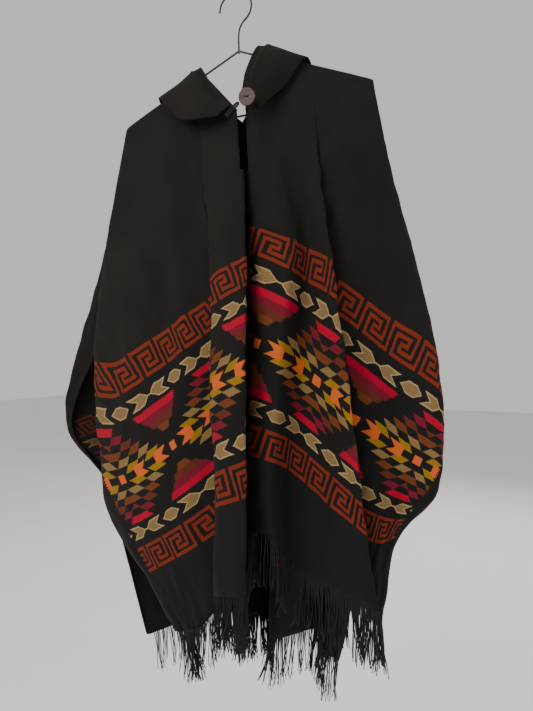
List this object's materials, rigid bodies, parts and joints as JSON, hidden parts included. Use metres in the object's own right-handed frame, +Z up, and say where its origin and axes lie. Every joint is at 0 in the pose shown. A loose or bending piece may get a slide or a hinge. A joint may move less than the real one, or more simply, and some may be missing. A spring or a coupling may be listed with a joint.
{
  "type": "hooded andean poncho hanging on a wire hanger",
  "caption": "Black woven hooded poncho with a patterned band, front slit, coconut-shell button and fringed hems, hanging open on a plain wire hanger.",
  "frame": {"origin": "inside top of the hanger's hook, where a rail or a peg carries it", "axes": "+X across the shoulders, +Y towards the back of the garment, +Z up"},
  "size_m": [0.7136, 0.2947, 1.1701],
  "materials": {
    "cloth": "brushed woven cloth",
    "fringe": "twisted yarn",
    "hood": "brushed woven cloth",
    "wire": "satin lacquered wire",
    "button": "polished coconut shell",
    "cord": "round braided cord"
  },
  "bodies": {
    "root": {"front_panel": "cloth", "back_panel": "cloth", "front_fringe_left": "fringe", "front_fringe_right": "fringe", "back_fringe": "fringe", "hood_left": "hood", "hood_right": "hood", "hanger_hook": "wire", "hanger_arm_left": "wire", "hanger_arm_right": "wire", "hanger_bar": "wire", "button": "button", "button_loop": "cord"}
  },
  "joints": []
}
